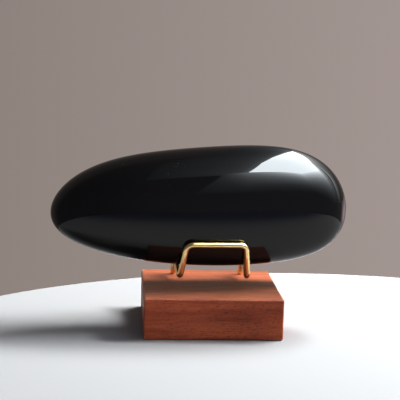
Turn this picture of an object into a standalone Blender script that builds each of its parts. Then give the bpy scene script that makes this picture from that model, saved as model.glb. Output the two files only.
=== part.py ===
"""A polished obsidian stone resting in a brass wire holder on a wooden block.

Lengths are in metres, +Z is up, the front faces -Y, and the origin is the
centre of the block's underside.
"""
import math

import bmesh
import bpy
from mathutils import Vector

MM = 0.001

# Wooden block
BLOCK_SIDE = 80.0 * MM
BLOCK_HEIGHT = 24.0 * MM
BLOCK_EDGE_RADIUS = 1.2 * MM
HOLE_DEPTH = 13.0 * MM

# Brass wire and the small gap left between touching solids
WIRE_RADIUS = 1.8 * MM
BEND_RADIUS = 3.6 * MM
WIDE_BEND_RADIUS = 4.8 * MM
GAP = 0.3 * MM

# The wire holder stands on the block turned a little anticlockwise from above
HOLDER_TURN = math.radians(1.7)

# Back rest: an upside-down U whose two legs go down into the block
LEG_LEFT_X = -19.6 * MM
LEG_RIGHT_X = 22.5 * MM
LEGS_Y = 28.4 * MM
REST_BAR_HEIGHT = 48.5 * MM

# Front cradle: two arms run forward from the legs, turn up and meet in a bar
ARM_HEIGHT = 12.0 * MM
ELBOW_HEIGHT = 7.6 * MM
ELBOW_LEFT_X = -19.1 * MM
ELBOW_RIGHT_X = 20.5 * MM
ELBOW_Y = -14.0 * MM
BAR_LEFT_X = -15.8 * MM
BAR_RIGHT_X = 18.8 * MM
BAR_Y = -19.6 * MM
BAR_HEIGHT = 27.4 * MM

# Stone: its long axis lies along X. Each cross section is an ellipse whose
# lower half is made a little fuller. Every wave is the amplitude of a sine or
# cosine of 1, 2, 3 or more half turns from the left tip to the right one: the
# first is a plain ellipsoid, and the others draw out the left end and make the
# right one blunt.
STONE_LENGTH = 176.8 * MM
STONE_CENTRE_X = -6.8 * MM
STONE_CENTRE_Y = 3.4 * MM
STONE_CENTRE_Z = 70.0 * MM
STONE_LEAN = math.radians(2.0)
HALF_HEIGHT_WAVES = (37.4 * MM, -3.2 * MM, 2.2 * MM, -0.4 * MM)
HALF_THICKNESS_WAVES = (24.4 * MM, -1.2 * MM, 2.0 * MM)
MIDLINE_WAVES = (-2.0 * MM, -1.3 * MM, 0.2 * MM, -0.7 * MM)
LOWER_FULLNESS = 0.10
STONE_SEGMENTS = 56
STONE_RINGS = 40

# Small flats on the right tip: where each faces, and how deep it cuts
END_FLATS = (
    (math.radians(-27.0), math.radians(-2.0), 0.45 * MM),
    (math.radians(-24.0), math.radians(-32.0), 0.3 * MM),
)

MERGE_DISTANCE = 0.01 * MM


def clear_scene():
    """Removes every object that the file holds."""
    for obj in list(bpy.data.objects):
        bpy.data.objects.remove(obj, do_unlink=True)


def new_collection(name):
    """Makes a collection under the scene."""
    collection = bpy.data.collections.new(name)
    bpy.context.scene.collection.children.link(collection)
    return collection


def material(name, colour, roughness, metallic=0.0):
    """Makes a plain Principled BSDF material."""
    mat = bpy.data.materials.new(name)
    mat.use_nodes = True
    shader = mat.node_tree.nodes["Principled BSDF"]
    shader.inputs["Base Color"].default_value = (*colour, 1.0)
    shader.inputs["Roughness"].default_value = roughness
    shader.inputs["Metallic"].default_value = metallic
    mat.diffuse_color = (*colour, 1.0)
    return mat


def mesh_object(name, bm, collection, mat=None):
    """Turns a bmesh into a named object."""
    mesh = bpy.data.meshes.new(name)
    bm.to_mesh(mesh)
    bm.free()
    obj = bpy.data.objects.new(name, mesh)
    if mat is not None:
        mesh.materials.append(mat)
    collection.objects.link(obj)
    return obj


def holder_frame(collection):
    """An empty at the centre of the block's top, turned as the holder is."""
    empty = bpy.data.objects.new("holder_frame", None)
    empty.location = (0.0, 0.0, BLOCK_HEIGHT)
    empty.rotation_euler = (0.0, 0.0, HOLDER_TURN)
    collection.objects.link(empty)
    return empty


def hole_cutter(name, x, frame, collection):
    """A cylinder that drills the block for one leg of the back rest."""
    bm = bmesh.new()
    bmesh.ops.create_cone(
        bm, cap_ends=True, segments=24, depth=2.0 * HOLE_DEPTH,
        radius1=WIRE_RADIUS + GAP, radius2=WIRE_RADIUS + GAP)
    cutter = mesh_object(name, bm, collection)
    cutter.parent = frame
    cutter.location = (x, LEGS_Y, 0.0)
    cutter.hide_render = True
    cutter.display_type = "WIRE"
    return cutter


def wood_block(frame, collection, cutters):
    """The square block, its edges rounded, with two blind holes in its top."""
    bm = bmesh.new()
    bmesh.ops.create_cube(bm, size=1.0)
    bmesh.ops.scale(bm, vec=(BLOCK_SIDE, BLOCK_SIDE, BLOCK_HEIGHT), verts=bm.verts)
    wood = material("mahogany", (0.22, 0.068, 0.036), 0.45)
    block = mesh_object("wood_block", bm, collection, wood)
    block.location = (0.0, 0.0, BLOCK_HEIGHT / 2.0)
    bevel = block.modifiers.new("rounded_edges", "BEVEL")
    bevel.width = BLOCK_EDGE_RADIUS
    bevel.segments = 3
    for side, x in (("left", LEG_LEFT_X), ("right", LEG_RIGHT_X)):
        drill = block.modifiers.new("hole_" + side, "BOOLEAN")
        drill.operation = "DIFFERENCE"
        drill.solver = "EXACT"
        drill.object = hole_cutter("cutter_hole_" + side, x, frame, cutters)
    return block


def bent_path(corners, radii, steps=6):
    """The points of a wire through the corners, each inner one bent to its radius."""
    points = [corners[0]]
    for before, corner, after, radius in zip(corners, corners[1:], corners[2:], radii):
        incoming = (corner - before).normalized()
        outgoing = (after - corner).normalized()
        turn = incoming.angle(outgoing)
        start = corner - incoming * radius * math.tan(turn / 2.0)
        inward = (outgoing - incoming * math.cos(turn)).normalized()
        centre = start + inward * radius
        for step in range(steps + 1):
            angle = turn * step / steps
            points.append(centre - inward * radius * math.cos(angle) + incoming * radius * math.sin(angle))
    points.append(corners[-1])
    return points


def wire(name, points, frame, collection, mat):
    """A round brass wire along the points, with closed ends."""
    curve = bpy.data.curves.new(name, "CURVE")
    curve.dimensions = "3D"
    curve.bevel_depth = WIRE_RADIUS
    curve.bevel_resolution = 2
    curve.use_fill_caps = True
    spline = curve.splines.new("POLY")
    spline.points.add(len(points) - 1)
    for spline_point, point in zip(spline.points, points):
        spline_point.co = (*point, 1.0)
    curve.materials.append(mat)
    obj = bpy.data.objects.new(name, curve)
    obj.parent = frame
    collection.objects.link(obj)
    return obj


def back_rest(frame, collection, brass):
    """The upside-down U behind the stone, its feet in the block."""
    foot = GAP - HOLE_DEPTH
    corners = [
        Vector((LEG_LEFT_X, LEGS_Y, foot)),
        Vector((LEG_LEFT_X, LEGS_Y, REST_BAR_HEIGHT)),
        Vector((LEG_RIGHT_X, LEGS_Y, REST_BAR_HEIGHT)),
        Vector((LEG_RIGHT_X, LEGS_Y, foot)),
    ]
    bends = (BEND_RADIUS, BEND_RADIUS)
    return wire("back_rest", bent_path(corners, bends), frame, collection, brass)


def front_cradle(frame, collection, brass):
    """The arms under the stone, turned up in front of it into a loop."""
    arm_end_y = LEGS_Y - WIRE_RADIUS - 1.6 * GAP
    corners = [
        Vector((LEG_LEFT_X, arm_end_y, ARM_HEIGHT)),
        Vector((ELBOW_LEFT_X, ELBOW_Y, ELBOW_HEIGHT)),
        Vector((BAR_LEFT_X, BAR_Y, BAR_HEIGHT)),
        Vector((BAR_RIGHT_X, BAR_Y, BAR_HEIGHT)),
        Vector((ELBOW_RIGHT_X, ELBOW_Y, ELBOW_HEIGHT)),
        Vector((LEG_RIGHT_X, arm_end_y, ARM_HEIGHT)),
    ]
    bends = (BEND_RADIUS, WIDE_BEND_RADIUS, BEND_RADIUS, BEND_RADIUS)
    return wire("front_cradle", bent_path(corners, bends), frame, collection, brass)


def sine_sum(waves, angle):
    """A half width that is nothing at both tips."""
    return sum(size * math.sin((order + 1) * angle) for order, size in enumerate(waves))


def cosine_sum(waves, angle):
    """The height of the stone's midline over its centre."""
    return sum(size * math.cos((order + 1) * angle) for order, size in enumerate(waves))


def stone_point(unit):
    """Moves a point of the unit sphere, poles on Z, to the stone's surface."""
    angle = math.acos(max(-1.0, min(1.0, -unit.z)))
    across = math.hypot(unit.x, unit.y)
    back = unit.x / across if across > 1e-6 else 0.0
    up = unit.y / across if across > 1e-6 else 0.0
    fuller = 1.0 + LOWER_FULLNESS * (back * up * (1.0 - up)) ** 2
    return Vector((
        unit.z * STONE_LENGTH / 2.0,
        back * fuller * sine_sum(HALF_THICKNESS_WAVES, angle),
        cosine_sum(MIDLINE_WAVES, angle) + up * fuller * sine_sum(HALF_HEIGHT_WAVES, angle)))


def facing(turn, tilt):
    """The direction at a turn from +X towards +Y and a tilt upward."""
    return Vector((math.cos(turn) * math.cos(tilt), math.sin(turn) * math.cos(tilt), math.sin(tilt)))


def grind_flats(bm):
    """Presses what stands past each flat onto its plane."""
    for turn, tilt, depth in END_FLATS:
        normal = facing(turn, tilt)
        level = max(vert.co.dot(normal) for vert in bm.verts) - depth
        for vert in bm.verts:
            excess = vert.co.dot(normal) - level
            if excess > 0.0:
                vert.co -= normal * excess


def stone(frame, collection):
    """The obsidian, a smooth egg leaning back a little on its rest."""
    bm = bmesh.new()
    bmesh.ops.create_uvsphere(bm, u_segments=STONE_SEGMENTS, v_segments=STONE_RINGS, radius=1.0)
    for vert in bm.verts:
        vert.co = stone_point(vert.co.normalized())
    grind_flats(bm)
    bmesh.ops.remove_doubles(bm, verts=bm.verts, dist=MERGE_DISTANCE)
    obsidian = material("obsidian", (0.006, 0.006, 0.007), 0.04)
    obj = mesh_object("stone", bm, collection, obsidian)
    obj.data.shade_smooth()
    obj.parent = frame
    obj.location = (STONE_CENTRE_X, STONE_CENTRE_Y, STONE_CENTRE_Z - BLOCK_HEIGHT)
    obj.rotation_euler = (-STONE_LEAN, 0.0, 0.0)
    return obj


def main():
    clear_scene()
    model = new_collection("obsidian_on_stand")
    cutters = new_collection("cutters")
    frame = holder_frame(model)
    brass = material("brass", (0.80, 0.56, 0.20), 0.18, 1.0)
    wood_block(frame, model, cutters)
    back_rest(frame, model, brass)
    front_cradle(frame, model, brass)
    stone(frame, model)


main()
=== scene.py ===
import math

import bmesh
import bpy
from mathutils import Matrix, Vector, noise


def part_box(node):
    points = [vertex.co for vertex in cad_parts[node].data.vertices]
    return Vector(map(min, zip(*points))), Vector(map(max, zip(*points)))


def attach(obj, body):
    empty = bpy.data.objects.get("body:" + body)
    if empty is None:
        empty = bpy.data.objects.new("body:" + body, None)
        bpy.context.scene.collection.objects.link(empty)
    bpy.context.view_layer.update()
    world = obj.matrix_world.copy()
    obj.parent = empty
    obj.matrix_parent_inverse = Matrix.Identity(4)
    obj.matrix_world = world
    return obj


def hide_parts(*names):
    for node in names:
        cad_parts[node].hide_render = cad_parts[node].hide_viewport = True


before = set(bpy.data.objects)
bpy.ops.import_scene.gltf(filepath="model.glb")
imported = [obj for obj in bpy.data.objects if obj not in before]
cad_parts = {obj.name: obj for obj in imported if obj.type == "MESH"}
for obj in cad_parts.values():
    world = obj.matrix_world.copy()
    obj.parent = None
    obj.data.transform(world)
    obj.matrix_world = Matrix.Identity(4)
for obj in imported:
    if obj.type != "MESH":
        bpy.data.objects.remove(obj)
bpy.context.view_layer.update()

MM = 0.001

# The same sizes as in the CAD source
BLOCK_SIDE = 80.0 * MM
BLOCK_HEIGHT = 24.0 * MM
BLOCK_EDGE_RADIUS = 1.2 * MM
HOLE_DEPTH = 13.0 * MM
WIRE_RADIUS = 1.8 * MM
BEND_RADIUS = 3.6 * MM
WIDE_BEND_RADIUS = 4.8 * MM
GAP = 0.3 * MM
HOLDER_TURN = math.radians(1.7)
LEG_LEFT_X = -19.6 * MM
LEG_RIGHT_X = 22.5 * MM
LEGS_Y = 28.4 * MM
REST_BAR_HEIGHT = 48.5 * MM
ARM_HEIGHT = 12.0 * MM
ELBOW_HEIGHT = 7.6 * MM
ELBOW_LEFT_X = -19.1 * MM
ELBOW_RIGHT_X = 20.5 * MM
ELBOW_Y = -14.0 * MM
BAR_LEFT_X = -15.8 * MM
BAR_RIGHT_X = 18.8 * MM
BAR_Y = -19.6 * MM
BAR_HEIGHT = 27.4 * MM
STONE_LENGTH = 176.8 * MM
STONE_CENTRE_X = -6.8 * MM
STONE_CENTRE_Y = 3.4 * MM
STONE_CENTRE_Z = 70.0 * MM
STONE_LEAN = math.radians(2.0)
HALF_HEIGHT_WAVES = (37.4 * MM, -3.2 * MM, 2.2 * MM, -0.4 * MM)
HALF_THICKNESS_WAVES = (24.4 * MM, -1.2 * MM, 2.0 * MM)
MIDLINE_WAVES = (-2.0 * MM, -1.3 * MM, 0.2 * MM, -0.7 * MM)
LOWER_FULLNESS = 0.10
END_FLATS = (
    (math.radians(-27.0), math.radians(-2.0), 0.45 * MM),
    (math.radians(-24.0), math.radians(-32.0), 0.3 * MM),
)

# Finer detail of the dressed pieces
STONE_CUTS = 118
FLAT_SOFTNESS = 0.12 * MM
STONE_RIPPLE = 0.02 * MM
STONE_RIPPLE_LENGTH = 30.0 * MM
STONE_RIPPLE_SHIFT = (3.1, 7.7, 1.9)
WIRE_SIDES = 28
BEND_STEPS = 14
REST_STEP = 1.5 * MM
CRADLE_STEP = 1.0 * MM
ARM_END_GAP = 1.6 * GAP
HOLE_RADIUS = 1.95 * MM
HOLE_RIM = 0.25 * MM
HOLE_MOUTH = 1.0 * MM
HOLE_SIDES = 40
WOOD_CELL = 1.1 * MM
WOOD_EDGE_CELL = 0.3 * MM
WOOD_EDGE_BAND = 2.4 * MM
EDGE_WEAR = 0.45
EDGE_WEAR_SCALE = 55.0
EDGE_WEAR_SHIFT = (5.2, 1.3, 8.4)
FINE_WEAR = 0.18
FINE_WEAR_SCALE = 240.0
FINE_WEAR_SHIFT = (2.2, 9.3, 4.4)
FACE_RELIEF = 0.05 * MM
RELIEF_ALONG = 25.0
RELIEF_ACROSS = 160.0
SHARP_ANGLE = math.radians(38.0)

# Camera, found from the block's corners in the photograph
CAMERA_PLACE = (-0.0575, -0.7194, 0.1862)
CAMERA_YAW = math.radians(-4.010)
CAMERA_PITCH = math.radians(8.787)
CAMERA_ROLL = math.radians(1.531)
FOCAL_LENGTH_PIXELS = 1230.0
IMAGE_PIXELS = 400.0

# Stage: a round pale floor, its far edge where the photograph's is
FLOOR_CENTRE = (0.0677, -0.1408)
FLOOR_RADIUS = 0.285
FLOOR_STRETCH = 1.5
FLOOR_THICKNESS = 0.012
FLOOR_SIDES = 256
FLOOR_DROP = 0.02 * MM
FLOOR_PALE = (0.350, 0.366, 0.380, 1.0)
FLOOR_PALER = (0.362, 0.376, 0.388, 1.0)
# Painted shade: the floor turns dark and bluish towards the camera and far to the left, standing in for
# light that falls off there.
FLOOR_PAINTED_SHADE = (0.120, 0.138, 0.195, 1.0)
FLOOR_SHADE_FORWARD = (-0.14, -0.34)
FLOOR_SHADE_LEFT = (-0.22, -0.36)
VIEW_GAMMA = 0.8

# The room's wall, left and right of the view, and the dim room on the
# camera's side
WALL_TONES = ((0.35, 0.30, 0.28, 1.0), (0.46, 0.40, 0.38, 1.0))
ROOM_FRONT = ((0.16, 0.16, 0.18, 1.0), (0.34, 0.34, 0.40, 1.0))

# Lights for the dull surfaces: place, size, turn, tilt, watts and colour
AREA_LIGHTS = (
    ("key", (1.02, 0.42, 1.24), (1.4, 0.40), math.radians(-35.0), 0.0, 112.0, (1.0, 0.985, 0.965)),
    ("fill", (0.80, -0.10, 1.25), (0.9, 0.9), 0.0, 0.0, 3.0, (0.95, 0.975, 1.0)),
    ("front_fill", (0.45, -1.25, 0.05), (0.9, 0.3), math.radians(15.0), math.radians(90.0), 5.2,
     (1.0, 0.98, 0.96)),
)
LIGHT_DISTANCE = 10.0

# Softboxes: each corner is an azimuth from the front towards the right and an
# elevation, in degrees. The main one is evenly bright.
SOFTBOX = ((12, 47), (27, 66), (75, 76), (135, 66), (155, 43), (108, 51), (88, 43), (45, 44))
SOFTBOX_STRENGTH = 22.0
SIDE_CARD = ((108, -20), (108, 0), (141, 0), (141, -20))
SIDE_CARD_STRENGTH = 1.2

# Its spill, below, to the right and above: from a line beside the softbox,
# bright as given there, down to one dim strength at a line farther off
SPILL_STEPS = 8
SPILL_BELOW = (
    ((6, 46), (12, 47), (45, 44), (88, 43), (108, 51)),
    (1.0, 5.0, 18.0, 18.0, 8.0),
    ((3, 16), (9, 15), (45, 15), (77, 0), (92, 0)), 0.4, 1.0)
SPILL_RIGHT = (
    ((155, 43), (108, 51), (103, 28), (90, 0)),
    (6.0, 8.0, 6.0, 0.6),
    ((164, 25), (124, 20), (112, 12), (100, 0)), 0.6, 1.0)
SPILL_ABOVE = (
    ((6, 43), (12, 47), (27, 66), (75, 76), (135, 66), (155, 43), (156, 41)),
    (1.0, 3.0, 3.0, 3.0, 3.0, 3.0, 3.0),
    ((-8, 42), (-9, 52), (-20, 77), (180, 86), (173, 65), (174, 45), (164, 25)), 0.35, 0.6)


def link(obj):
    """Puts an object into the scene."""
    bpy.context.scene.collection.objects.link(obj)
    return obj


def mesh_object(name, bm, mat=None, smooth=True):
    """Turns a bmesh into a shown object."""
    mesh = bpy.data.meshes.new(name)
    bm.to_mesh(mesh)
    bm.free()
    if smooth:
        mesh.shade_smooth()
    if mat is not None:
        mesh.materials.append(mat)
    return link(bpy.data.objects.new(name, mesh))


def holder_matrix():
    """From the holder's own frame, at the block's top, to the world."""
    return Matrix.Translation((0.0, 0.0, BLOCK_HEIGHT)) @ Matrix.Rotation(HOLDER_TURN, 4, "Z")


class Nodes:
    """Short calls for building a node tree."""

    def __init__(self, tree):
        self.tree = tree

    def add(self, kind, **settings):
        node = self.tree.nodes.new(kind)
        for key, value in settings.items():
            setattr(node, key, value)
        return node

    def link(self, source, target):
        self.tree.links.new(source, target)

    def feed(self, target, value):
        """Links a socket, or sets a plain value."""
        if isinstance(value, bpy.types.NodeSocket):
            self.link(value, target)
        elif value is not None:
            target.default_value = value

    def math(self, operation, a, b=None):
        node = self.add("ShaderNodeMath", operation=operation)
        self.feed(node.inputs[0], a)
        self.feed(node.inputs[1], b)
        return node.outputs[0]

    def remap(self, value, low, high, to_low=0.0, to_high=1.0, smooth=True):
        kind = "SMOOTHSTEP" if smooth else "LINEAR"
        node = self.add("ShaderNodeMapRange", interpolation_type=kind)
        for index, item in enumerate((value, low, high, to_low, to_high)):
            self.feed(node.inputs[index], item)
        return node.outputs[0]

    def mix(self, factor, a, b):
        node = self.add("ShaderNodeMix", data_type="RGBA")
        self.feed(node.inputs[0], factor)
        self.feed(node.inputs[6], a)
        self.feed(node.inputs[7], b)
        return node.outputs[2]

    def noise(self, vector, scale, detail=2.0, roughness=0.5, distortion=0.0):
        node = self.add("ShaderNodeTexNoise")
        self.link(vector, node.inputs["Vector"])
        node.inputs["Scale"].default_value = scale
        node.inputs["Detail"].default_value = detail
        node.inputs["Roughness"].default_value = roughness
        node.inputs["Distortion"].default_value = distortion
        return node.outputs["Fac"]

    def cells(self, vector, scale):
        """The distance to the nearest of many scattered points."""
        node = self.add("ShaderNodeTexVoronoi")
        self.link(vector, node.inputs["Vector"])
        node.inputs["Scale"].default_value = scale
        return node.outputs["Distance"]

    def stretched(self, vector, scale):
        """The vector with each axis scaled, for marks longer one way."""
        node = self.add("ShaderNodeMapping")
        self.link(vector, node.inputs["Vector"])
        node.inputs["Scale"].default_value = scale
        return node.outputs["Vector"]

    def bump(self, height, strength, distance):
        node = self.add("ShaderNodeBump")
        node.inputs["Strength"].default_value = strength
        node.inputs["Distance"].default_value = distance
        self.link(height, node.inputs["Height"])
        return node.outputs["Normal"]

    def facing_up(self):
        """How far the surface faces upward, from minus one to one."""
        parts = self.add("ShaderNodeSeparateXYZ")
        self.link(self.add("ShaderNodeNewGeometry").outputs["Normal"], parts.inputs[0])
        return parts.outputs[2]


def surface(name, colour):
    """A Principled material, with its nodes and its object coordinates."""
    mat = bpy.data.materials.new(name)
    mat.use_nodes = True
    mat.diffuse_color = (*colour, 1.0)
    nodes = Nodes(mat.node_tree)
    shader = mat.node_tree.nodes["Principled BSDF"]
    place = nodes.add("ShaderNodeTexCoord").outputs["Object"]
    return mat, nodes, shader, place


def obsidian_material():
    """Black volcanic glass under a mirror polish, with a little dust on top."""
    mat, nodes, shader, place = surface("obsidian_polished", (0.006, 0.006, 0.007))
    shader.inputs["IOR"].default_value = 1.5
    cloud = nodes.noise(place, 38.0, 3.0)
    flow = nodes.noise(nodes.stretched(place, (12.0, 40.0, 90.0)), 1.0, 3.0, 0.5, 0.6)
    black = nodes.mix(
        nodes.remap(flow, 0.35, 0.7), (0.0026, 0.0027, 0.0030, 1.0), (0.0044, 0.0042, 0.0045, 1.0))
    upward = nodes.remap(nodes.facing_up(), 0.1, 0.8)
    speck = nodes.math("LESS_THAN", nodes.cells(place, 420.0), 0.10)
    sparse = nodes.remap(nodes.noise(place, 65.0, 2.0), 0.56, 0.66)
    dust = nodes.math("MULTIPLY", nodes.math("MULTIPLY", speck, sparse), upward)
    nodes.link(nodes.mix(dust, black, (0.11, 0.11, 0.115, 1.0)), shader.inputs["Base Color"])
    smear = nodes.remap(cloud, 0.35, 0.75, 0.018, 0.045)
    rough = nodes.math("ADD", smear, nodes.math("MULTIPLY", dust, 0.5))
    nodes.link(rough, shader.inputs["Roughness"])
    scratch = nodes.noise(nodes.stretched(place, (60.0, 900.0, 900.0)), 1.0, 2.0)
    nodes.link(nodes.bump(scratch, 0.03, 0.00002), shader.inputs["Normal"])
    return mat


def brass_material():
    """Bright drawn brass with a thin, patchy tarnish."""
    mat, nodes, shader, place = surface("brass_wire", (0.80, 0.58, 0.25))
    shader.inputs["Metallic"].default_value = 1.0
    patch = nodes.remap(nodes.noise(place, 160.0, 4.0, 0.6), 0.42, 0.72)
    spots = nodes.remap(nodes.noise(place, 900.0, 2.0), 0.62, 0.74)
    clean = nodes.mix(patch, (0.91, 0.74, 0.41, 1.0), (0.82, 0.60, 0.27, 1.0))
    nodes.link(nodes.mix(spots, clean, (0.52, 0.33, 0.12, 1.0)), shader.inputs["Base Color"])
    rough = nodes.math("ADD", nodes.math("MULTIPLY", patch, 0.09), 0.13)
    nodes.link(nodes.math("ADD", rough, nodes.math("MULTIPLY", spots, 0.12)), shader.inputs["Roughness"])
    grain = nodes.noise(place, 2600.0, 2.0)
    nodes.link(nodes.bump(grain, 0.10, 0.00003), shader.inputs["Normal"])
    return mat


def wood_material():
    """Oiled reddish brown wood, its grain along X, with fine open pores and lighter edges that are part
    wear, part painted highlight.
    """
    mat, nodes, shader, place = surface("mahogany_oiled", (0.26, 0.085, 0.045))
    bent = nodes.noise(place, 14.0, 2.0)
    lengthwise = nodes.stretched(place, (9.0, 95.0, 130.0))
    bands = nodes.noise(lengthwise, 1.0, 4.0, 0.55, 1.2)
    broad = nodes.noise(nodes.stretched(place, (5.0, 32.0, 45.0)), 1.0, 2.0, 0.5, 0.8)
    fibre = nodes.noise(nodes.stretched(place, (70.0, 1100.0, 1300.0)), 1.0, 3.0, 0.6)
    pores = nodes.cells(nodes.stretched(place, (330.0, 2100.0, 2300.0)), 1.0)
    pore = nodes.math("LESS_THAN", pores, nodes.remap(bent, 0.3, 0.7, 0.16, 0.30))
    light = (0.46, 0.128, 0.056, 1.0)
    middle = (0.335, 0.077, 0.033, 1.0)
    dark = (0.150, 0.030, 0.014, 1.0)
    tone = nodes.mix(nodes.remap(bands, 0.34, 0.66), middle, light)
    tone = nodes.mix(nodes.remap(broad, 0.48, 0.72, 0.0, 0.65), tone, dark)
    tone = nodes.mix(nodes.remap(fibre, 0.40, 0.70, 0.0, 0.35), tone, dark)
    pore_depth = nodes.math("MULTIPLY", pore, 0.6)
    tone = nodes.mix(pore_depth, tone, (0.055, 0.016, 0.010, 1.0))
    # Lighter convex edges, made ragged by noise: partly real wear, partly a painted highlight along the
    # rounded edges.
    edge_pointiness = nodes.add("ShaderNodeNewGeometry").outputs["Pointiness"]
    ragged_edge_noise = nodes.remap(nodes.noise(place, 420.0, 3.0), 0.36, 0.58)
    edge = nodes.math("MULTIPLY", nodes.remap(edge_pointiness, 0.508, 0.545), ragged_edge_noise)
    tone = nodes.mix(nodes.math("MULTIPLY", edge, 0.8), tone, (0.60, 0.30, 0.18, 1.0))
    nodes.link(tone, shader.inputs["Base Color"])
    shader.inputs["Specular IOR Level"].default_value = 0.22
    nodes.link(nodes.remap(nodes.facing_up(), 0.4, 0.9, 0.06, 0.42), shader.inputs["Sheen Weight"])
    shader.inputs["Sheen Roughness"].default_value = 0.45
    shader.inputs["Sheen Tint"].default_value = (1.0, 0.78, 0.52, 1.0)
    rough = nodes.remap(fibre, 0.3, 0.7, 0.42, 0.56)
    nodes.link(rough, shader.inputs["Roughness"])
    grooves = nodes.math("SUBTRACT", nodes.math("MULTIPLY", fibre, 0.6), pore)
    nodes.link(nodes.bump(grooves, 0.35, 0.00012), shader.inputs["Normal"])
    return mat


def sine_sum(waves, angle):
    """A half width that is nothing at both tips."""
    return sum(size * math.sin((order + 1) * angle) for order, size in enumerate(waves))


def cosine_sum(waves, angle):
    """The height of the stone's midline over its centre."""
    return sum(size * math.cos((order + 1) * angle) for order, size in enumerate(waves))


def stone_point(unit):
    """Moves a point of the unit sphere, poles on Z, to the stone's surface."""
    angle = math.acos(max(-1.0, min(1.0, -unit.z)))
    across = math.hypot(unit.x, unit.y)
    back = unit.x / across if across > 1e-6 else 0.0
    up = unit.y / across if across > 1e-6 else 0.0
    fuller = 1.0 + LOWER_FULLNESS * (back * up * (1.0 - up)) ** 2
    return Vector((
        unit.z * STONE_LENGTH / 2.0,
        back * fuller * sine_sum(HALF_THICKNESS_WAVES, angle),
        cosine_sum(MIDLINE_WAVES, angle) + up * fuller * sine_sum(HALF_HEIGHT_WAVES, angle)))


def soft_excess(height):
    """Zero well below a flat, the height itself well above it."""
    share = height / FLAT_SOFTNESS
    if share > 30.0:
        return height
    return FLAT_SOFTNESS * math.log1p(math.exp(share))


def grind_flats(bm):
    """Presses what stands past each flat onto its plane, with soft edges."""
    for turn, tilt, depth in END_FLATS:
        normal = Vector((math.cos(turn) * math.cos(tilt), math.sin(turn) * math.cos(tilt), math.sin(tilt)))
        level = max(vert.co.dot(normal) for vert in bm.verts) - depth
        for vert in bm.verts:
            height = vert.co.dot(normal) - level
            if height > -20.0 * FLAT_SOFTNESS:
                vert.co -= normal * soft_excess(height)


def keep_inside(bm, low, high):
    """Shrinks a mesh about its middle, so that it stays in the CAD node's box."""
    lows = [min(vert.co[axis] for vert in bm.verts) for axis in range(3)]
    highs = [max(vert.co[axis] for vert in bm.verts) for axis in range(3)]
    for axis in range(3):
        middle = (low[axis] + high[axis]) / 2.0
        reach = max(highs[axis] - middle, middle - lows[axis])
        share = min(1.0, (high[axis] - low[axis]) / 2.0 / reach)
        for vert in bm.verts:
            vert.co[axis] = middle + (vert.co[axis] - middle) * share


def make_stone(mat):
    """The stone: an even mesh on the CAD's own formula, with ground flats."""
    bm = bmesh.new()
    bmesh.ops.create_cube(bm, size=2.0)
    bmesh.ops.subdivide_edges(bm, edges=bm.edges[:], cuts=STONE_CUTS, use_grid_fill=True)
    for vert in bm.verts:
        even = Vector([math.tan(part * math.pi / 4.0) for part in vert.co])
        vert.co = stone_point(even.normalized())
    grind_flats(bm)
    bm.normal_update()
    for vert in bm.verts:
        wave = noise.noise(vert.co / STONE_RIPPLE_LENGTH + Vector(STONE_RIPPLE_SHIFT))
        vert.co += vert.normal * STONE_RIPPLE * wave
    lean = Matrix.Rotation(-STONE_LEAN, 4, "X")
    place = Matrix.Translation((STONE_CENTRE_X, STONE_CENTRE_Y, STONE_CENTRE_Z - BLOCK_HEIGHT))
    bm.transform(holder_matrix() @ place @ lean)
    keep_inside(bm, *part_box("stone"))
    middle = Vector((0.0, 0.0, STONE_CENTRE_Z))
    outward = sum(face.normal.dot(face.calc_center_median() - middle) for face in bm.faces)
    if outward < 0.0:
        bmesh.ops.reverse_faces(bm, faces=bm.faces[:])
    obj = mesh_object("obsidian_stone", bm, mat)
    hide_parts("stone")
    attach(obj, "root")


def bent_path(corners, radii, steps):
    """The points of a wire through the corners, each inner one bent to its radius."""
    points = [corners[0]]
    for before, corner, after, radius in zip(corners, corners[1:], corners[2:], radii):
        incoming = (corner - before).normalized()
        outgoing = (after - corner).normalized()
        turn = incoming.angle(outgoing)
        start = corner - incoming * radius * math.tan(turn / 2.0)
        inward = (outgoing - incoming * math.cos(turn)).normalized()
        centre = start + inward * radius
        for step in range(steps + 1):
            angle = turn * step / steps
            points.append(centre - inward * radius * math.cos(angle) + incoming * radius * math.sin(angle))
    points.append(corners[-1])
    return points


def add_tube(bm, points):
    """A round closed wire along the points."""
    tangents = []
    for index in range(len(points)):
        before = points[max(0, index - 1)]
        after = points[min(len(points) - 1, index + 1)]
        tangents.append((after - before).normalized())
    side = tangents[0].orthogonal().normalized()
    rings = []
    for point, tangent in zip(points, tangents):
        side = (side - tangent * side.dot(tangent)).normalized()
        other = tangent.cross(side)
        ring = []
        for step in range(WIRE_SIDES):
            angle = 2.0 * math.pi * step / WIRE_SIDES
            outward = side * math.cos(angle) + other * math.sin(angle)
            ring.append(bm.verts.new(point + outward * WIRE_RADIUS))
        rings.append(ring)
    for ring, following in zip(rings, rings[1:]):
        for step in range(WIRE_SIDES):
            after = (step + 1) % WIRE_SIDES
            bm.faces.new((ring[step], ring[after], following[after], following[step]))
    bm.faces.new(list(reversed(rings[0])))
    bm.faces.new(rings[-1])


def spaced(points, longest):
    """The same path with no step longer than the given one."""
    out = [points[0]]
    for before, after in zip(points, points[1:]):
        count = max(1, math.ceil((after - before).length / longest))
        for step in range(1, count + 1):
            out.append(before.lerp(after, step / count))
    return out


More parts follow.
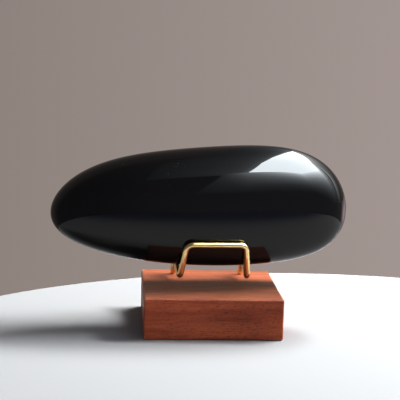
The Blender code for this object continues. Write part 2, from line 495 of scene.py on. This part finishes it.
def make_back_rest(mat):
    """The upside-down U behind the stone."""
    foot = GAP - HOLE_DEPTH
    corners = [
        Vector((LEG_LEFT_X, LEGS_Y, foot)),
        Vector((LEG_LEFT_X, LEGS_Y, REST_BAR_HEIGHT)),
        Vector((LEG_RIGHT_X, LEGS_Y, REST_BAR_HEIGHT)),
        Vector((LEG_RIGHT_X, LEGS_Y, foot)),
    ]
    bends = (BEND_RADIUS, BEND_RADIUS)
    bm = bmesh.new()
    add_tube(bm, spaced(bent_path(corners, bends, BEND_STEPS), REST_STEP))
    bm.transform(holder_matrix())
    keep_inside(bm, *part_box("back_rest"))
    obj = mesh_object("brass_back_rest", bm, mat)
    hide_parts("back_rest")
    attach(obj, "root")


def make_front_cradle(mat):
    """The arms under the stone and the loop in front of it."""
    arm_end_y = LEGS_Y - WIRE_RADIUS - ARM_END_GAP
    corners = [
        Vector((LEG_LEFT_X, arm_end_y, ARM_HEIGHT)),
        Vector((ELBOW_LEFT_X, ELBOW_Y, ELBOW_HEIGHT)),
        Vector((BAR_LEFT_X, BAR_Y, BAR_HEIGHT)),
        Vector((BAR_RIGHT_X, BAR_Y, BAR_HEIGHT)),
        Vector((ELBOW_RIGHT_X, ELBOW_Y, ELBOW_HEIGHT)),
        Vector((LEG_RIGHT_X, arm_end_y, ARM_HEIGHT)),
    ]
    bends = (BEND_RADIUS, WIDE_BEND_RADIUS, BEND_RADIUS, BEND_RADIUS)
    bm = bmesh.new()
    add_tube(bm, spaced(bent_path(corners, bends, BEND_STEPS), CRADLE_STEP))
    bm.transform(holder_matrix())
    obj = mesh_object("brass_front_cradle", bm, mat)
    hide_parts("front_cradle")
    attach(obj, "root")


def grid_lines(half):
    """Even steps along one side of the block, and finer ones at its edges."""
    edge_steps = round(WOOD_EDGE_BAND / WOOD_EDGE_CELL)
    inner = half - WOOD_EDGE_BAND
    inner_steps = max(2, math.ceil(2.0 * inner / WOOD_CELL))
    lines = [-half + WOOD_EDGE_BAND * step / edge_steps for step in range(edge_steps)]
    lines += [-inner + 2.0 * inner * step / inner_steps for step in range(inner_steps + 1)]
    lines += [inner + WOOD_EDGE_BAND * (step + 1) / edge_steps for step in range(edge_steps)]
    return lines


def box_grid(bm, xs, ys, zs):
    """The skin of a box as a grid of quads through the given lines."""
    verts = {}

    def vert(i, j, k):
        key = (i, j, k)
        if key not in verts:
            verts[key] = bm.verts.new((xs[i], ys[j], zs[k]))
        return verts[key]

    nx, ny, nz = len(xs) - 1, len(ys) - 1, len(zs) - 1
    for i in range(nx):
        for j in range(ny):
            bm.faces.new((vert(i, j, 0), vert(i, j + 1, 0), vert(i + 1, j + 1, 0), vert(i + 1, j, 0)))
            bm.faces.new((vert(i, j, nz), vert(i + 1, j, nz), vert(i + 1, j + 1, nz), vert(i, j + 1, nz)))
    for i in range(nx):
        for k in range(nz):
            bm.faces.new((vert(i, 0, k), vert(i + 1, 0, k), vert(i + 1, 0, k + 1), vert(i, 0, k + 1)))
            bm.faces.new((vert(i, ny, k), vert(i, ny, k + 1), vert(i + 1, ny, k + 1), vert(i + 1, ny, k)))
    for j in range(ny):
        for k in range(nz):
            bm.faces.new((vert(0, j, k), vert(0, j, k + 1), vert(0, j + 1, k + 1), vert(0, j + 1, k)))
            bm.faces.new((vert(nx, j, k), vert(nx, j + 1, k), vert(nx, j + 1, k + 1), vert(nx, j, k + 1)))


def hole_cutter(name, x):
    """A drill for one leg, wider at its mouth so that the hole has a soft rim."""
    profile = [
        (HOLE_RADIUS, -HOLE_DEPTH), (HOLE_RADIUS, -HOLE_RIM),
        (HOLE_RADIUS + HOLE_RIM, 0.0), (HOLE_RADIUS + HOLE_RIM + HOLE_MOUTH, HOLE_MOUTH)]
    bm = bmesh.new()
    rings = []
    for radius, height in profile:
        ring = []
        for step in range(HOLE_SIDES):
            angle = 2.0 * math.pi * step / HOLE_SIDES
            across, along = radius * math.cos(angle), radius * math.sin(angle)
            ring.append(bm.verts.new((x + across, LEGS_Y + along, height)))
        rings.append(ring)
    for ring, following in zip(rings, rings[1:]):
        for step in range(HOLE_SIDES):
            after = (step + 1) % HOLE_SIDES
            bm.faces.new((ring[step], ring[after], following[after], following[step]))
    bm.faces.new(list(reversed(rings[0])))
    bm.faces.new(rings[-1])
    bm.transform(holder_matrix())
    return mesh_object(name, bm, smooth=False)


def make_wood_block(mat):
    """The block, its edges rounded unevenly by wear, drilled for the legs."""
    half = Vector((BLOCK_SIDE / 2.0, BLOCK_SIDE / 2.0, BLOCK_HEIGHT / 2.0))
    bm = bmesh.new()
    box_grid(bm, grid_lines(half.x), grid_lines(half.y), grid_lines(half.z))
    for vert in bm.verts:
        wear = noise.noise(vert.co * EDGE_WEAR_SCALE + Vector(EDGE_WEAR_SHIFT))
        fine_wear = noise.noise(vert.co * FINE_WEAR_SCALE + Vector(FINE_WEAR_SHIFT))
        radius = BLOCK_EDGE_RADIUS * (1.0 + EDGE_WEAR * wear + FINE_WEAR * fine_wear)
        inner = Vector([max(radius - side, min(side - radius, part)) for part, side in zip(vert.co, half)])
        outward = vert.co - inner
        vert.co = inner + outward.normalized() * radius
        grain = Vector((vert.co.x * RELIEF_ALONG, vert.co.y * RELIEF_ACROSS, vert.co.z * RELIEF_ACROSS))
        relief = noise.noise(grain)
        vert.co -= outward.normalized() * FACE_RELIEF * abs(relief)
    bm.transform(Matrix.Translation((0.0, 0.0, half.z)))
    for vert in bm.verts:
        vert.co.z = max(0.0, vert.co.z)
    obj = mesh_object("mahogany_block", bm, mat)
    cutters = [hole_cutter("drill_left", LEG_LEFT_X), hole_cutter("drill_right", LEG_RIGHT_X)]
    for cutter in cutters:
        drill = obj.modifiers.new(cutter.name, "BOOLEAN")
        drill.operation = "DIFFERENCE"
        drill.solver = "EXACT"
        drill.object = cutter
    drilled = bpy.data.meshes.new_from_object(obj.evaluated_get(bpy.context.evaluated_depsgraph_get()))
    obj.modifiers.clear()
    obj.data = drilled
    drilled.name = "mahogany_block"
    drilled.shade_smooth()
    drilled.set_sharp_from_angle(angle=SHARP_ANGLE)
    for cutter in cutters:
        bpy.data.objects.remove(cutter, do_unlink=True)
    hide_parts("wood_block")
    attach(obj, "root")


def make_floor():
    """A round pale floor, as thick as a table top, with painted shade towards the camera and far to the
    left.
    """
    mat, nodes, shader, place = surface("floor_pale", (0.3, 0.3, 0.3))
    shade = nodes.noise(place, 6.0, 2.0)
    pale = nodes.mix(shade, FLOOR_PALE, FLOOR_PALER)
    floor_axes = nodes.add("ShaderNodeSeparateXYZ")
    nodes.link(place, floor_axes.inputs[0])
    # Painted shade: a darker, bluish floor towards the camera and far to the left.
    shade_forward = nodes.remap(floor_axes.outputs[1], *FLOOR_SHADE_FORWARD)
    shade_left = nodes.remap(floor_axes.outputs[0], *FLOOR_SHADE_LEFT)
    painted_shade = nodes.math("MAXIMUM", shade_forward, shade_left)
    nodes.link(nodes.mix(painted_shade, pale, FLOOR_PAINTED_SHADE), shader.inputs["Base Color"])
    shader.inputs["Roughness"].default_value = 0.6
    shader.inputs["Specular IOR Level"].default_value = 0.0
    bm = bmesh.new()
    bmesh.ops.create_cone(
        bm, cap_ends=True, segments=FLOOR_SIDES,
        radius1=FLOOR_RADIUS, radius2=FLOOR_RADIUS, depth=FLOOR_THICKNESS)
    for vert in bm.verts:
        if vert.co.y < 0.0:
            vert.co.y *= FLOOR_STRETCH
    bm.transform(Matrix.Translation((*FLOOR_CENTRE, -FLOOR_THICKNESS / 2.0 - FLOOR_DROP)))
    mesh_object("floor", bm, mat, smooth=False)


def toward(azimuth, elevation):
    """A direction: azimuth from the front towards the right, in degrees."""
    turn, rise = math.radians(azimuth), math.radians(elevation)
    return Vector((math.sin(turn) * math.cos(rise), -math.cos(turn) * math.cos(rise), math.sin(rise)))


def light_material(name, colour):
    """Plain light whose strength is stored at the panel's corners."""
    mat = bpy.data.materials.new(name)
    mat.use_nodes = True
    nodes = Nodes(mat.node_tree)
    mat.node_tree.nodes.clear()
    output = nodes.add("ShaderNodeOutputMaterial")
    glow = nodes.add("ShaderNodeEmission")
    glow.inputs["Color"].default_value = (*colour, 1.0)
    strength = nodes.add("ShaderNodeAttribute", attribute_name="strength")
    nodes.link(strength.outputs["Fac"], glow.inputs["Strength"])
    nodes.link(glow.outputs[0], output.inputs["Surface"])
    return mat


def light_panel(name, rows, colour, distance):
    """A far panel of soft light: one outline, or rows of corners joined in turn."""
    bm = bmesh.new()
    layer = bm.verts.layers.float.new("strength")
    lines = []
    for row in rows:
        line = []
        for direction, strength in row:
            vert = bm.verts.new(direction * distance)
            vert[layer] = strength
            line.append(vert)
        lines.append(line)
    if len(lines) == 1:
        bm.faces.new(lines[0])
    for line, following in zip(lines, lines[1:]):
        for step in range(len(line) - 1):
            bm.faces.new((line[step], line[step + 1], following[step + 1], following[step]))
    bmesh.ops.triangulate(bm, faces=bm.faces[:])
    obj = mesh_object(name, bm, light_material(name, colour), smooth=False)
    obj.location = (0.0, 0.0, STONE_CENTRE_Z)
    obj.visible_camera = False
    obj.visible_diffuse = False
    obj.visible_shadow = False


def evenly_lit(corners, strength):
    """One outline, evenly bright."""
    return [[(toward(*corner), strength) for corner in corners]]


def graded(near, strengths, far, weak, bend):
    """Rows from the near line to the far one, fading by equal shares."""
    rows = []
    for step in range(SPILL_STEPS + 1):
        share = step / SPILL_STEPS
        row = []
        for start, strength, end in zip(near, strengths, far):
            direction = toward(*start).lerp(toward(*end), share).normalized()
            row.append((direction, strength * (weak / strength) ** share ** bend))
        rows.append(row)
    return rows


def area_light(name, place, size, turn, tilt, power, colour):
    """A light, left out of reflections, that lights the dull surfaces."""
    data = bpy.data.lights.new(name, "AREA")
    data.shape = "RECTANGLE"
    data.size, data.size_y = size
    data.energy = power
    data.color = colour
    obj = link(bpy.data.objects.new(name, data))
    obj.location = place
    obj.rotation_euler = (tilt, 0.0, turn)
    obj.visible_glossy = False
    obj.visible_camera = False


def make_lights():
    """A softbox on the right, its spill, a pinkish card and the area lights."""
    pale_blue, white, pink = (0.90, 0.96, 1.0), (0.97, 1.0, 0.99), (1.0, 0.82, 0.89)
    light_panel("softbox", evenly_lit(SOFTBOX, SOFTBOX_STRENGTH), pale_blue, LIGHT_DISTANCE - 0.2)
    light_panel("spill_below", graded(*SPILL_BELOW), pale_blue, LIGHT_DISTANCE)
    light_panel("spill_right", graded(*SPILL_RIGHT), white, LIGHT_DISTANCE + 0.2)
    light_panel("spill_above", graded(*SPILL_ABOVE), pale_blue, LIGHT_DISTANCE + 0.4)
    light_panel("side_card", evenly_lit(SIDE_CARD, SIDE_CARD_STRENGTH), pink, LIGHT_DISTANCE - 0.5)
    for light in AREA_LIGHTS:
        area_light(*light)


def make_world():
    """A dim room: a plain taupe wall behind, darker on the camera's side."""
    world = bpy.data.worlds.new("room")
    bpy.context.scene.world = world
    world.use_nodes = True
    world.node_tree.nodes.clear()
    nodes = Nodes(world.node_tree)
    output = nodes.add("ShaderNodeOutputWorld")
    glow = nodes.add("ShaderNodeBackground")
    axes = nodes.add("ShaderNodeSeparateXYZ")
    nodes.link(nodes.add("ShaderNodeTexCoord").outputs["Generated"], axes.inputs[0])
    across, depth = axes.outputs[0], axes.outputs[1]
    wall_tone = nodes.mix(nodes.remap(across, -0.1, 0.3, smooth=False), *WALL_TONES)
    front_tone = nodes.mix(nodes.remap(across, -0.35, 0.3), *ROOM_FRONT)
    behind = nodes.remap(depth, -0.25, 0.25)
    nodes.link(nodes.mix(behind, front_tone, wall_tone), glow.inputs["Color"])
    nodes.link(glow.outputs[0], output.inputs["Surface"])
    world.cycles.sampling_method = "MANUAL"
    world.cycles.sample_map_resolution = 256


def make_camera():
    """The photograph's own viewpoint."""
    data = bpy.data.cameras.new("camera")
    data.sensor_width = 36.0
    data.lens = FOCAL_LENGTH_PIXELS / IMAGE_PIXELS * data.sensor_width
    data.clip_start = 0.01
    data.clip_end = 50.0
    camera = link(bpy.data.objects.new("camera", data))
    aim = Matrix.Rotation(CAMERA_YAW, 4, "Z") @ Matrix.Rotation(math.pi / 2.0 - CAMERA_PITCH, 4, "X")
    camera.matrix_world = Matrix.Translation(CAMERA_PLACE) @ aim @ Matrix.Rotation(CAMERA_ROLL, 4, "Z")
    bpy.context.scene.camera = camera


def main():
    brass = brass_material()
    make_stone(obsidian_material())
    make_back_rest(brass)
    make_front_cradle(brass)
    make_wood_block(wood_material())
    make_floor()
    make_lights()
    make_world()
    make_camera()
    bpy.context.scene.view_settings.view_transform = "Standard"
    bpy.context.scene.view_settings.gamma = VIEW_GAMMA


main()
